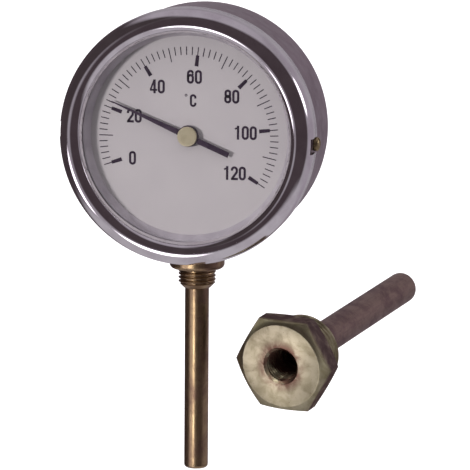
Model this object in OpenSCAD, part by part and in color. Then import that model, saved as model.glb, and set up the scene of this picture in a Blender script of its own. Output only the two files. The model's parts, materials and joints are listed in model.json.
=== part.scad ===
// Dial thermometer with a bottom stem, and the immersion pocket that it screws into.
//
// Millimetres, +Z up. The stem runs down the Z axis and the dial faces -Y. The
// origin is on the stem's axis at the underside of the collar, where the
// thermometer seals on the mouth of its pocket.
//
// Everything behind the bezel is drawn in the dial's own frame: X to the right,
// Y up and Z forward out of the dial, with its origin at the centre of the
// dial's printed face. The pocket is drawn along its own axis too, with its
// mouth at the origin and its tube running up +Z.

/* [Case] */
// Outside diameter of the cup
cup_od = 87; // [86:0.5:88]
// Sheet thickness of the cup
cup_wall = 0.8; // [0.6:0.1:1]
// Distance from the dial's face to the back of the cup
cup_back = 35.5; // [31:0.5:44]
// Radius of the cup's back edge
cup_edge_r = 4; // [3:0.5:6]

/* [Bezel] */
// Outside diameter of the bezel
bezel_od = 88.8; // [88.6:0.1:90]
// Diameter of the window inside the bezel's lip
window_d = 72.4; // [71:0.2:73]
// Sheet thickness of the bezel
bezel_wall = 0.7; // [0.5:0.1:0.7]
// How far the bezel's skirt reaches behind the dial's face
skirt_back = 2.5; // [1.5:0.5:3]
// Number of retaining screws around the skirt
bezel_screw_count = 2; // [2:1:4]

/* [Dial] */
// Distance from the stem's axis to the dial's face
dial_offset = 16; // [15:0.5:17]
// Height of the dial's centre above the collar's underside
dial_height = 49; // [48.5:0.5:50]
// Thickness of the dial plate
dial_t = 0.8; // [0.5:0.1:1]
// Diameter of the dial that is seen inside the spacer ring
dial_view_d = 69.2; // [66:0.2:70]
// How far the dial is turned from upright, clockwise
dial_turn = 6.2; // [0:0.1:8]
// Angle that the pointer sweeps from 0 to 120 degrees
scale_sweep = 231; // [220:1:240]
// Temperature that the pointer shows
reading = 22.1; // [0:0.1:120]

/* [Pointer] */
// Length of the blade from the arbor to its tip
blade_len = 29.2; // [26:0.2:30]
// Length of the tail from the arbor to its square end
tail_len = 15.6; // [12:0.2:18]
// Width of the tail
tail_w = 1.9; // [1.4:0.1:2.4]
// Diameter of the cap over the boss
cap_d = 6.8; // [6:0.1:7.2]

/* [Stem] */
// Outside diameter of the stem
stem_od = 8.5; // [8:0.1:9]
// Length of the stem below the collar
stem_len = 72; // [60:1:85]
// Outside diameter of the G1/4 thread
thread_od = 13.157; // [13.157:0.001:13.157]
// Length of the thread
thread_len = 7; // [6:0.5:9]
// Diameter of the collar
collar_od = 19.4; // [18:0.2:20]

/* [Pocket] */
// Width of the hexagon across its flats
hex_af = 32; // [30:1:34]
// Height of the hexagon
hex_h = 9.5; // [9:0.5:14]
// Outside diameter of the G3/4 thread on the neck
neck_od = 26.441; // [26.441:0.001:26.441]
// Length of the threaded neck
neck_len = 10.5; // [10:0.5:16]
// Outside diameter of the pocket's tube
tube_od = 11.6; // [11.4:0.1:12.6]
// Length of the pocket from its mouth to its closed end
pocket_len = 104; // [94:1:130]

/* [Hidden] */
$fn = 180;

eps = 0.01;
cup_r = cup_od / 2;
cup_in_r = cup_r - cup_wall;
bezel_r = bezel_od / 2;
window_r = window_d / 2;
stem_r = stem_od / 2;

// Bezel section: a small inner roll and a larger outer roll meet at the crest
inner_roll_r = 3.2;
outer_roll_r = bezel_r - window_r - inner_roll_r;
crest_r = window_r + inner_roll_r;
crest_z = 9.5;
lip_z = crest_z - inner_roll_r;
shoulder_z = crest_z - outer_roll_r;

// Glass and what is stacked behind it, counted forward from the dial's face
glass_t = 2;
glass_gap = 0.4;
glass_r = cup_in_r - glass_gap;
glass_front = lip_z;
glass_back = glass_front - glass_t;
gasket_t = 1;
spacer_wall = 1.2;
spacer_setback = 0.4;
spacer_in_r = window_r + spacer_setback;
spacer_foot_t = 1;
spacer_lip_t = 0.3;
gasket_setback = 0.3;
cup_rim = glass_back - gasket_t;
ledge_depth = 3;
ledge_wall = 1;
ledge_w = 4;
plate_gap = 0.2;
plate_r = cup_in_r - ledge_wall - plate_gap;
plate_hole_r = 2.6;

// Bezel screws and their slots
screw_z = -2;
screw_head_r = 2.4;
screw_head_t = 2.2;
screw_shank_r = 1.2;
screw_lift = 0.02;
drive_slot_w = 0.6;
drive_slot_depth = 0.7;
screw_len = cup_wall + ledge_wall;
slot_half_w = 2.7;
slot_reach = 9;
screw_turn = -2.2;

// Pointer stack, counted forward from the dial's face
boss_r = 3.7;
boss_z = 0.5;
boss_t = 1.3;
blade_t = 0.4;
cap_t = 1.2;
blade_root_w = 2.3;
blade_tip_w = 0.35;
arbor_r = 0.8;

// Gears: a small pinion on the arbor runs on a face gear on the spindle
gear_module = 0.5;
pinion_teeth = 12;
crown_teeth = 24;
pinion_r = gear_module * pinion_teeth / 2;
crown_r = gear_module * crown_teeth / 2;
tooth_add = 0.3;
tooth_ded = 0.65;
tooth_w = 0.42;
pinion_w = 1;
pinion_hub_len = 1.5;
tooth_root = 0.2;
crown_face_w = 1.8;
crown_t = 1;
crown_hub_r = 2.2;
crown_hub_t = 3;
crown_tooth_inset = 0.1;
gear_gap = 0.05;

// Angle of the pointer's blade in the dial's frame
reading_angle = 90 - dial_turn + (60 - reading) * scale_sweep / 120;

// Socket, counted up from the collar's underside
socket_bore_r = 2.6;
spigot_r = 6;
spigot_gap = 0.1;
saddle_top = 9.5;
frame_t = 1.2;
nut_t = 4;
nut_af = 15.5;
spigot_proud = 1.3;
spigot_top = saddle_top + frame_t + nut_t + spigot_proud;
washer_r = 8.5;
collar_chamfer = 1.5;
tube_seat = 2;

// Movement frame: two legs in front of and behind the stem's axis
leg_front_y = -13.4;
leg_rear_y = 8;
leg_w = 15;
bush_r = 2;
bush_flange_r = 2.8;
bush_flange_t = 0.5;
shaft_gap = 0.05;
spindle_bush_t = 2.5;
spindle_flange_r = 3.4;
spindle_flange_t = 0.5;
bush_setback = 1;

// Spindle and helix
spindle_r = 0.8;
crown_top = dial_height - pinion_r - tooth_ded - gear_gap;
hub_top = -12;
hub_t = 2.5;
hub_r = 2.3;
helix_gap = 0.6;
stem_wall = 0.7;
stem_in_r = stem_r - stem_wall;
tube_turn_down = 0.2;
tube_top_r = stem_r - tube_turn_down;
stem_end_r = 1.2;
helix_r = 2.5;
helix_turns = 16;
helix_top = hub_top - hub_t - helix_gap;
plug_t = 3;
anchor_t = 3;
anchor_r = 2.4;
anchor_top = -stem_len + plug_t + anchor_t;
strip_t = 0.4;
strip_h = 1.8;

// Pocket: its mouth is bored for the thermometer's thread
mouth_r = 11.445 / 2;
mouth_depth = 14;
tube_seat_depth = 16;
pocket_plug_t = 2;
tube_wall = 1.2;
tube_in_r = tube_od / 2 - tube_wall;
plug_seat_r = tube_in_r + 0.4;
face_r = 14.9;
back_face_r = 15.8;
rim_spread = hex_h / tan(30);
neck_chamfer = 1;
mouth_chamfer = 0.8;
pocket_end_r = 2;

// Where the pocket lies beside the stem, and which way its tube points
pocket_at = [32.6, -14, -31];
pocket_yaw = -16.6;
pocket_rise = 6.2;
pocket_turn = 1.6;

// Draws its children in the dial's own frame
module on_dial() {
    translate([0, -dial_offset, dial_height]) rotate([90, 0, 0]) children();
}

// Draws its children along the pocket's axis, mouth first
module on_pocket() {
    translate(pocket_at)
        rotate([0, 0, pocket_yaw])
            rotate([pocket_rise - 90, 0, 0])
                children();
}

// Plain ring between two heights
module ring(r_out, r_in, z0, z1) {
    translate([0, 0, z0]) difference() {
        cylinder(h = z1 - z0, r = r_out);
        translate([0, 0, -eps]) cylinder(h = z1 - z0 + 2 * eps, r = r_in);
    }
}

// Disc or shaft between two heights
module rod(r, z0, z1) {
    translate([0, 0, z0]) cylinder(h = z1 - z0, r = r);
}

// Half section of the rolled bezel with its rolls inset by a sheet thickness
module roll_section(inset) {
    intersection() {
        translate([crest_r, lip_z]) circle(r = inner_roll_r - inset);
        translate([crest_r - inner_roll_r, lip_z]) square([inner_roll_r, inner_roll_r]);
    }
    intersection() {
        translate([crest_r, shoulder_z]) circle(r = outer_roll_r - inset);
        translate([crest_r, shoulder_z]) square([outer_roll_r, outer_roll_r]);
    }
}

module bezel_section() {
    skirt_len = shoulder_z + skirt_back;
    difference() {
        union() {
            roll_section(0);
            translate([crest_r, -skirt_back]) square([outer_roll_r, skirt_len]);
            translate([crest_r, shoulder_z]) square([inner_roll_r / 2, outer_roll_r - inner_roll_r]);
        }
        roll_section(bezel_wall);
        translate([crest_r - eps, -skirt_back - eps])
            square([outer_roll_r - bezel_wall + eps, skirt_len + 2 * eps]);
        translate([crest_r - inner_roll_r, glass_back])
            square([inner_roll_r + outer_roll_r - bezel_wall, lip_z - glass_back]);
    }
}

// Deep drawn cup, its open rim towards the glass
module cup_section(r, back, edge) {
    translate([0, -back]) square([r - edge, back + cup_rim]);
    translate([r - edge - eps, -back + edge]) square([edge + eps, back - edge + cup_rim]);
    intersection() {
        translate([r - edge, -back + edge]) circle(r = edge);
        translate([r - edge, -back]) square([edge, edge]);
    }
}

module at_bezel_screws() {
    for (i = [0 : bezel_screw_count - 1])
        rotate([0, 0, screw_turn + i * 360 / bezel_screw_count])
            translate([cup_r, 0, screw_z])
                rotate([0, 90, 0])
                    children();
}

module case_cup() color("dimgray") difference() {
    on_dial() difference() {
        rotate_extrude() difference() {
            cup_section(cup_r, cup_back, cup_edge_r);
            translate([0, eps]) cup_section(cup_in_r, cup_back - cup_wall, cup_edge_r - cup_wall);
        }
        at_bezel_screws() rod(screw_shank_r, -screw_len, screw_len);
    }
    rod(spigot_r + spigot_gap, 0, spigot_top);
}

module bezel() color("silver") on_dial() difference() {
    rotate_extrude() bezel_section();
    at_bezel_screws()
        translate([-slot_reach, -slot_half_w, -cup_wall])
            cube([slot_reach + 2 * skirt_back, 2 * slot_half_w, 2 * screw_head_t]);
}

module bezel_screws() color("darkgoldenrod") on_dial() at_bezel_screws() {
    difference() {
        rod(screw_head_r, screw_lift, screw_head_t);
        translate([-screw_head_r, -drive_slot_w / 2, screw_head_t - drive_slot_depth])
            cube([2 * screw_head_r, drive_slot_w, screw_head_t]);
    }
    rod(screw_shank_r, -screw_len, screw_lift);
}

module window_glass() color("lightcyan", 0.3) on_dial() rod(glass_r, glass_back, glass_front);

module glass_gasket() color("black") on_dial()
    ring(glass_r, spacer_in_r + gasket_setback, cup_rim, glass_back);

// Ring whose inner side slopes in from the glass to the edge of the dial that is seen
module spacer_ring() color("gainsboro") on_dial() rotate_extrude() polygon([
    [dial_view_d / 2, 0], [glass_r, 0], [glass_r, spacer_foot_t],
    [spacer_in_r + spacer_wall, spacer_foot_t], [spacer_in_r + spacer_wall, cup_rim],
    [spacer_in_r, cup_rim], [dial_view_d / 2, spacer_lip_t]
]);

// Angle ring that the dial plate lies on, drilled where the screws bite into it
module dial_ledge() color("gray") on_dial() difference() {
    union() {
        ring(cup_in_r, cup_in_r - ledge_wall, -dial_t - ledge_depth, -dial_t);
        ring(cup_in_r - ledge_wall, cup_in_r - ledge_w, -dial_t - ledge_wall, -dial_t);
    }
    at_bezel_screws() rod(screw_shank_r, -screw_len - ledge_wall, screw_len);
}

module dial_plate() color("whitesmoke") on_dial() ring(plate_r, plate_hole_r, -dial_t, 0);

// Blade and tail in one thin plate, drawn pointing to +X
module pointer_outline() {
    polygon([
        [blade_len, -blade_tip_w / 2], [blade_len, blade_tip_w / 2],
        [0, blade_root_w / 2], [0, -blade_root_w / 2]
    ]);
    translate([-tail_len, -tail_w / 2]) square([tail_len, tail_w]);
}

module pointer() color("#2a2230") on_dial() rotate([0, 0, reading_angle])
    translate([0, 0, boss_z + boss_t]) linear_extrude(blade_t) difference() {
        pointer_outline();
        circle(r = arbor_r);
    }

module pointer_boss() color("#2a2230") on_dial() ring(boss_r, arbor_r, boss_z, boss_z + boss_t);

module hub_cap() color("#cfc08e") on_dial() {
    cap_z = boss_z + boss_t + blade_t;
    difference() {
        rod(cap_d / 2, cap_z, cap_z + cap_t);
        rod(arbor_r, cap_z - eps, cap_z + cap_t / 2);
    }
}

module pointer_arbor() color("lightsteelblue") on_dial()
    rod(arbor_r, -dial_offset - leg_rear_y - 2 * frame_t, boss_z + boss_t + blade_t + cap_t / 2);

// Pinion on the arbor, turned so that a tooth points straight down
module arbor_pinion() color("gold") on_dial() {
    mesh_z = crown_r - dial_offset;
    difference() {
        union() {
            rod(pinion_r - tooth_ded, mesh_z - pinion_w / 2, mesh_z + pinion_w / 2);
            rod(2 * arbor_r, mesh_z + pinion_w / 2, mesh_z + pinion_w / 2 + pinion_hub_len);
            for (i = [0 : pinion_teeth - 1])
                rotate([0, 0, -90 + i * 360 / pinion_teeth])
                    translate([pinion_r - tooth_ded - tooth_root, -tooth_w / 2, mesh_z - pinion_w / 2])
                        cube([tooth_ded + tooth_add + tooth_root, tooth_w, pinion_w]);
        }
        rod(arbor_r, mesh_z - pinion_w, mesh_z + pinion_w + pinion_hub_len);
    }
}

module frame_leg(y0) {
    translate([-leg_w / 2, y0, saddle_top]) cube([leg_w, frame_t, dial_height - saddle_top]);
    translate([0, y0 + frame_t, dial_height]) rotate([90, 0, 0]) cylinder(h = frame_t, r = leg_w / 2);
}

module movement_frame() color("goldenrod") difference() {
    union() {
        frame_leg(leg_front_y);
        frame_leg(leg_rear_y);
        translate([-leg_w / 2, leg_front_y, saddle_top])
            cube([leg_w, leg_rear_y - leg_front_y + frame_t, frame_t]);
    }
    rod(spigot_r + spigot_gap, 0, spigot_top);
    on_dial() rod(bush_r, -cup_back, 0);
}

// Flanged bearing bush for the arbor, its flange inside the movement frame
module arbor_bush(leg_y, flange_side) color("gold") on_dial() {
    leg_z = -dial_offset - leg_y;
    flange_z = flange_side > 0 ? leg_z : leg_z - frame_t - bush_flange_t;
    ring(bush_r, arbor_r + shaft_gap, leg_z - frame_t, leg_z);
    ring(bush_flange_r, arbor_r + shaft_gap, flange_z, flange_z + bush_flange_t);
}

module arbor_bush_front() arbor_bush(leg_front_y, -1);

module arbor_bush_rear() arbor_bush(leg_rear_y, 1);

// Lower rim of a turned part, chamfered at 45 degrees
module chamfered_rim(r, z0) {
    translate([0, 0, z0]) cylinder(h = collar_chamfer, r1 = r - collar_chamfer, r2 = r);
}

// Brass boss: collar and thread outside the case, spigot inside it
module socket() color("darkkhaki") difference() {
    union() {
        rod(spigot_r, collar_chamfer, spigot_top);
        difference() {
            union() {
                rod(collar_od / 2, collar_chamfer, saddle_top);
                chamfered_rim(collar_od / 2, 0);
            }
            on_dial() rod(cup_r, -cup_back, cup_back);
        }
        rod(thread_od / 2, collar_chamfer - thread_len, eps);
        chamfered_rim(thread_od / 2, -thread_len);
    }
    rod(socket_bore_r, -thread_len, spigot_top + eps);
    rod(tube_top_r, -thread_len - eps, tube_seat);
}

// Washer with a round underside that rests on the inside of the cup
module saddle_washer() color("goldenrod") intersection() {
    ring(washer_r, spigot_r + spigot_gap, collar_chamfer, saddle_top);
    on_dial() rod(cup_in_r, -cup_back, cup_back);
}

module socket_nut() color("goldenrod") translate([0, 0, saddle_top + frame_t]) difference() {
    cylinder(h = nut_t, d = nut_af / cos(30), $fn = 6);
    translate([0, 0, -eps]) cylinder(h = nut_t + 2 * eps, r = spigot_r);
}

module spindle() color("lightsteelblue") rod(spindle_r, hub_top - hub_t, crown_top);

// Face gear: its teeth stand up and run radially
module crown_wheel() color("gold") difference() {
    union() {
        rod(crown_r + crown_face_w / 2, crown_top - crown_t, crown_top);
        rod(crown_hub_r, crown_top - crown_hub_t, crown_top);
        for (i = [0 : crown_teeth - 1])
            rotate([0, 0, -90 + (i + 0.5) * 360 / crown_teeth])
                translate([crown_r - crown_face_w / 2, -tooth_w / 2, crown_top - eps])
                    cube([crown_face_w - crown_tooth_inset, tooth_w, tooth_ded + tooth_add + eps]);
    }
    rod(spindle_r, crown_top - crown_hub_t - eps, crown_top + eps);
}

module spindle_bush(z0, flange) color("gold") {
    ring(socket_bore_r, spindle_r + shaft_gap, z0, z0 + spindle_bush_t);
    if (flange)
        translate([0, 0, z0 + spindle_bush_t])
            ring(spindle_flange_r, spindle_r + shaft_gap, 0, spindle_flange_t);
}

module spindle_bush_upper() spindle_bush(spigot_top - spindle_bush_t, true);

module spindle_bush_lower() spindle_bush(tube_seat + bush_setback, false);

module helix_hub() color("gold") ring(hub_r, spindle_r, hub_top - hub_t, hub_top);

// Bimetal strip wound as a coil: half turns that climb first one way, then back
module bimetal_helix() color("slategray") {
    climb = (helix_top - anchor_top - strip_h) / (2 * helix_turns);
    tilt = atan(climb / (2 * helix_r));
    for (i = [0 : 2 * helix_turns - 1])
        translate([0, 0, anchor_top + strip_h / 2 + (i + 0.5) * climb])
            rotate([0, 0, i * 180])
                rotate([0, tilt, 0])
                    rotate_extrude(angle = 180)
                        translate([helix_r - strip_t, -strip_h / 2]) square([strip_t, strip_h]);
}

module helix_anchor() color("gold") rod(anchor_r, -stem_len + plug_t, anchor_top);

// Tube of the stem, turned down a little where it enters the socket
module stem_tube() color("darkkhaki") {
    ring(stem_r, stem_in_r, -stem_len + stem_end_r, -thread_len);
    ring(tube_top_r, stem_in_r, -thread_len - eps, tube_seat);
}

// Plug that closes a tube's end with a rounded rim: z0 is its outer end
module rounded_plug(r_out, r_in, end_r, t, z0) {
    translate([0, 0, z0]) rotate_extrude() {
        translate([0, end_r]) square([r_in, t - end_r]);
        square([r_out - end_r, end_r]);
        intersection() {
            translate([r_out - end_r, end_r]) circle(r = end_r);
            translate([r_out - end_r, 0]) square([end_r, end_r]);
        }
    }
}

module stem_plug() color("darkkhaki")
    rounded_plug(stem_r, stem_in_r, stem_end_r, plug_t, -stem_len);

// Hexagon with both rims turned down to a round
module pocket_hexagon() {
    intersection() {
        rotate([0, 0, pocket_turn]) cylinder(h = hex_h, d = hex_af / cos(30), $fn = 6);
        cylinder(h = hex_h, r1 = face_r, r2 = face_r + rim_spread);
        cylinder(h = hex_h, r1 = back_face_r + rim_spread, r2 = back_face_r);
    }
}

module pocket_head() color("tan") on_pocket() difference() {
    union() {
        pocket_hexagon();
        rod(neck_od / 2, hex_h - eps, hex_h + neck_len - neck_chamfer);
        translate([0, 0, hex_h + neck_len - neck_chamfer])
            cylinder(h = neck_chamfer, r1 = neck_od / 2, r2 = neck_od / 2 - neck_chamfer);
    }
    rod(mouth_r, mouth_chamfer, mouth_depth);
    translate([0, 0, -eps]) cylinder(h = mouth_chamfer + 2 * eps, r1 = thread_od / 2, r2 = mouth_r);
    rod(tube_in_r, mouth_depth - eps, tube_seat_depth + eps);
    rod(tube_od / 2, tube_seat_depth, pocket_len);
}

module pocket_tube() color("rosybrown") on_pocket() difference() {
    ring(tube_od / 2, tube_in_r, tube_seat_depth, pocket_len - pocket_end_r);
    rod(plug_seat_r, pocket_len - pocket_end_r - pocket_plug_t, pocket_len);
}

module pocket_plug() color("rosybrown") on_pocket() translate([0, 0, pocket_len]) mirror([0, 0, 1])
    rounded_plug(tube_od / 2, plug_seat_r, pocket_end_r, pocket_plug_t + pocket_end_r, 0);

case_cup();
bezel();
bezel_screws();
window_glass();
glass_gasket();
spacer_ring();
dial_ledge();
dial_plate();
pointer();
pointer_boss();
hub_cap();
pointer_arbor();
arbor_pinion();
movement_frame();
arbor_bush_front();
arbor_bush_rear();
socket();
saddle_washer();
socket_nut();
spindle();
crown_wheel();
spindle_bush_upper();
spindle_bush_lower();
helix_hub();
bimetal_helix();
helix_anchor();
stem_tube();
stem_plug();
pocket_head();
pocket_tube();
pocket_plug();
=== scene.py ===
"""Dial thermometer with its immersion pocket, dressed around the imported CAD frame."""

import json
import math

import bmesh
import bpy
from mathutils import Matrix, Vector


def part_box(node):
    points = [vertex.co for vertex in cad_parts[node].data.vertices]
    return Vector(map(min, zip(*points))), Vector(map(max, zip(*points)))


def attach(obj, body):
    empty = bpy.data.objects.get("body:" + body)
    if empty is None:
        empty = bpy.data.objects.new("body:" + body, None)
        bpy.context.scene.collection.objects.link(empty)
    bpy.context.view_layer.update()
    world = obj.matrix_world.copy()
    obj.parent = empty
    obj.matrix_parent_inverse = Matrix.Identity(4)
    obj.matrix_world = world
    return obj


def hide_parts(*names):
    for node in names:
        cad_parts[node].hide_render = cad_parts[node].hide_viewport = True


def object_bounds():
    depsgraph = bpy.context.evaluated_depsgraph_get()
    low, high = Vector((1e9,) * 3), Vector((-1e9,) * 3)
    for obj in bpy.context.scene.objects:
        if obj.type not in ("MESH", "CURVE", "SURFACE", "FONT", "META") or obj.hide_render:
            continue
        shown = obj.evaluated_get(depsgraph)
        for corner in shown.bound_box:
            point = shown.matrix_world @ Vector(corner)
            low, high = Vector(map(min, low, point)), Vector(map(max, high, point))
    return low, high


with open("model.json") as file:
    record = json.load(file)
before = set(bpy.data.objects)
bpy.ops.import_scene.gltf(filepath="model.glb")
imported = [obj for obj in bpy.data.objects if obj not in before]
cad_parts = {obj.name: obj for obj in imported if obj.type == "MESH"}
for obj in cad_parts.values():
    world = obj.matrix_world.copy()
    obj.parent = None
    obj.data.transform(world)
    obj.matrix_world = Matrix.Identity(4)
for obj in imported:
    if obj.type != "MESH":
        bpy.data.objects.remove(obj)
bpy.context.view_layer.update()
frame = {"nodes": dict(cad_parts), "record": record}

MM = 0.001
TAU = 2 * math.pi

# ---------------------------------------------------------------- places


def mount(name):
    """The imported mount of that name."""
    return next(m for m in frame["record"]["mounts"] if m["name"] == name)


def axis_frame(origin, z_axis, turn=0.0):
    """Matrix whose Z runs along z_axis from origin, with X kept level."""
    z = Vector(z_axis).normalized()
    x = Vector((0, 0, 1)).cross(z)
    x = Vector((1, 0, 0)) if x.length < 1e-6 else x.normalized()
    y = z.cross(x)
    turned = Matrix((x, y, z)).transposed().to_4x4() @ Matrix.Rotation(turn, 4, "Z")
    return Matrix.Translation(Vector(origin)) @ turned


def box_centre(node):
    low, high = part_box(node)
    return (low + high) / 2


dial_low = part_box("dial_plate")[0]
dial_origin = Vector((0, dial_low.y, box_centre("dial_plate").z))
DIAL = Matrix.Translation(dial_origin) @ Matrix.Rotation(math.pi / 2, 4, "X")
STEM = Matrix.Identity(4)

mouth = mount("pocket_mouth")
pocket_axis = -Vector(mouth["axis"])
MOUTH_TO_MOUNT = 6 * MM
pocket_origin = Vector(mouth["pos_m"]) - pocket_axis * MOUTH_TO_MOUNT
POCKET_TURN = math.radians(1.6)
POCKET = axis_frame(pocket_origin, pocket_axis, POCKET_TURN)

# ---------------------------------------------------------------- camera

SENSOR_MM = 36
LENS_IN_PICTURE_WIDTHS = 3000 / 470
CAMERA_AZIMUTH = math.radians(10.72)
CAMERA_ELEVATION = math.radians(9.73)
CAMERA_ROLL = math.radians(0.45)
CAMERA_DISTANCE = 1032.7 * MM
DIAL_LEFT_OF_AXIS = 15.94 * MM
DIAL_ABOVE_AXIS = 34.2 * MM


def make_camera():
    data = bpy.data.cameras.new("camera")
    data.sensor_width = SENSOR_MM
    data.lens = SENSOR_MM * LENS_IN_PICTURE_WIDTHS
    data.clip_start, data.clip_end = 0.05, 100
    back = Vector((
        math.sin(CAMERA_AZIMUTH) * math.cos(CAMERA_ELEVATION),
        -math.cos(CAMERA_AZIMUTH) * math.cos(CAMERA_ELEVATION),
        math.sin(CAMERA_ELEVATION),
    ))
    right = Vector((math.cos(CAMERA_AZIMUTH), math.sin(CAMERA_AZIMUTH), 0))
    up = back.cross(right)
    turn = Matrix.Rotation(CAMERA_ROLL, 3, back)
    right, up = turn @ right, turn @ up
    camera = bpy.data.objects.new("camera", data)
    rotation = Matrix((right, up, back)).transposed().to_4x4()
    place = dial_origin + right * DIAL_LEFT_OF_AXIS - up * DIAL_ABOVE_AXIS
    camera.matrix_world = Matrix.Translation(place + back * CAMERA_DISTANCE) @ rotation
    bpy.context.scene.collection.objects.link(camera)
    bpy.context.scene.camera = camera


make_camera()
bpy.context.scene.view_settings.view_transform = "Standard"

# ---------------------------------------------------------------- materials


class Nodes:
    """Helpers that add nodes to one tree."""

    def __init__(self, tree):
        self.tree = tree

    def node(self, kind, **settings):
        made = self.tree.nodes.new(kind)
        for key, value in settings.items():
            setattr(made, key, value)
        return made

    def link(self, a, b):
        self.tree.links.new(a, b)

    def spread(self, value, low, high, to_low=0.0, to_high=1.0):
        """Clamped rescale of value, with soft ends."""
        made = self.node("ShaderNodeMapRange", interpolation_type="SMOOTHSTEP")
        ends = {"From Min": low, "From Max": high, "To Min": to_low, "To Max": to_high}
        for key, number in ends.items():
            made.inputs[key].default_value = number
        self.link(value, made.inputs["Value"])
        return made.outputs[0]

    def blend(self, factor, a, b):
        """Colour from a to b by factor; a and b are colours or sockets."""
        made = self.node("ShaderNodeMix", data_type="RGBA")
        self.link(factor, made.inputs["Factor"])
        color_a, color_b, color_result = 6, 7, 2
        for key, value in ((color_a, a), (color_b, b)):
            if isinstance(value, tuple):
                made.inputs[key].default_value = (*value, 1)
            else:
                self.link(value, made.inputs[key])
        return made.outputs[color_result]


class Paint(Nodes):
    """A node material around one Principled shader, with its sizes in millimetres."""

    def __init__(self, name, color, metallic, roughness):
        self.material = bpy.data.materials.new(name)
        self.material.use_nodes = True
        super().__init__(self.material.node_tree)
        self.shader = self.tree.nodes["Principled BSDF"]
        self.set("Base Color", (*color, 1))
        self.set("Metallic", metallic)
        self.set("Roughness", roughness)
        self.bumps = None
        coordinates = self.node("ShaderNodeTexCoord")
        scale = self.node("ShaderNodeVectorMath", operation="SCALE")
        scale.inputs["Scale"].default_value = 1 / MM
        self.link(coordinates.outputs["Object"], scale.inputs[0])
        self.mm = scale.outputs[0]

    def set(self, socket, value):
        self.shader.inputs[socket].default_value = value

    def stretched(self, scale):
        mapping = self.node("ShaderNodeMapping")
        mapping.inputs["Scale"].default_value = scale
        self.link(self.mm, mapping.inputs["Vector"])
        return mapping.outputs[0]

    def noise(self, size, detail, stretch=(1, 1, 1), roughness=0.55, seed=0.0, distortion=0.0):
        """Noise whose blobs are about size millimetres across, from 0 to 1."""
        made = self.node("ShaderNodeTexNoise", noise_dimensions="4D")
        made.inputs["Scale"].default_value = 1 / size
        made.inputs["Detail"].default_value = detail
        made.inputs["Roughness"].default_value = roughness
        made.inputs["W"].default_value = seed
        made.inputs["Distortion"].default_value = distortion
        self.link(self.stretched(stretch), made.inputs["Vector"])
        return made.outputs[0]

    def along_axis(self):
        """Height along the piece's own Z axis, in millimetres."""
        made = self.node("ShaderNodeSeparateXYZ")
        self.link(self.mm, made.inputs[0])
        return made.outputs["Z"]

    def from_axis(self):
        """Distance from the piece's own Z axis, in millimetres."""
        made = self.node("ShaderNodeVectorMath", operation="LENGTH")
        self.link(self.stretched((1, 1, 0)), made.inputs[0])
        return made.outputs["Value"]

    def rings(self, pitch, distortion):
        """Concentric waves about the piece's own Z axis, pitch millimetres apart."""
        radians_per_unit = 20
        made = self.node("ShaderNodeTexWave", wave_type="RINGS", rings_direction="Z")
        made.inputs["Scale"].default_value = TAU / radians_per_unit / pitch
        made.inputs["Distortion"].default_value = distortion
        made.inputs["Detail"].default_value = 2
        self.link(self.mm, made.inputs["Vector"])
        return made.outputs["Fac"]

    def combine(self, operation, a, b):
        made = self.node("ShaderNodeMath", operation=operation)
        self.link(a, made.inputs[0])
        self.link(b, made.inputs[1])
        return made.outputs[0]

    def times(self, a, b):
        return self.combine("MULTIPLY", a, b)

    def plus(self, a, b):
        return self.combine("ADD", a, b)

    def color(self, socket):
        self.link(socket, self.shader.inputs["Base Color"])

    def rough(self, socket):
        self.link(socket, self.shader.inputs["Roughness"])

    def bump(self, height, distance):
        """Adds a bump of that height in millimetres on top of the earlier ones."""
        made = self.node("ShaderNodeBump")
        made.inputs["Strength"].default_value = 1.0
        made.inputs["Distance"].default_value = distance * MM
        self.link(height, made.inputs["Height"])
        if self.bumps is not None:
            self.link(self.bumps, made.inputs["Normal"])
        self.bumps = made.outputs[0]
        self.link(self.bumps, self.shader.inputs["Normal"])


def chromed_bezel():
    paint = Paint("chrome_polished", (0.80, 0.77, 0.80), 1.0, 0.05)
    haze = paint.noise(9, 3, seed=1)
    fine = paint.noise(0.6, 3, seed=2)
    paint.color(paint.blend(paint.spread(haze, 0.35, 0.7), (0.84, 0.82, 0.85), (0.70, 0.66, 0.70)))
    wiped = paint.spread(haze, 0.4, 0.75, 0.035, 0.085)
    paint.rough(paint.plus(wiped, paint.spread(fine, 0.3, 0.7, 0.0, 0.03)))
    paint.bump(paint.noise(5.5, 2, seed=3), 0.012)
    paint.bump(fine, 0.0012)
    return paint.material


def chromed_cup():
    paint = Paint("chrome_satin", (0.26, 0.20, 0.23), 1.0, 0.36)
    cloud = paint.noise(14, 4, seed=4)
    drawn = paint.noise(1.2, 3, stretch=(1, 1, 0.06), seed=5)
    tone = paint.blend(paint.spread(cloud, 0.3, 0.72), (0.28, 0.21, 0.245), (0.20, 0.145, 0.175))
    paint.color(paint.blend(paint.spread(drawn, 0.3, 0.75, 0.0, 0.35), tone, (0.34, 0.27, 0.31)))
    paint.rough(paint.spread(paint.noise(4, 4, seed=6), 0.25, 0.75, 0.28, 0.44))
    paint.bump(drawn, 0.006)
    paint.bump(paint.noise(0.35, 2, seed=7), 0.003)
    return paint.material


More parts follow.
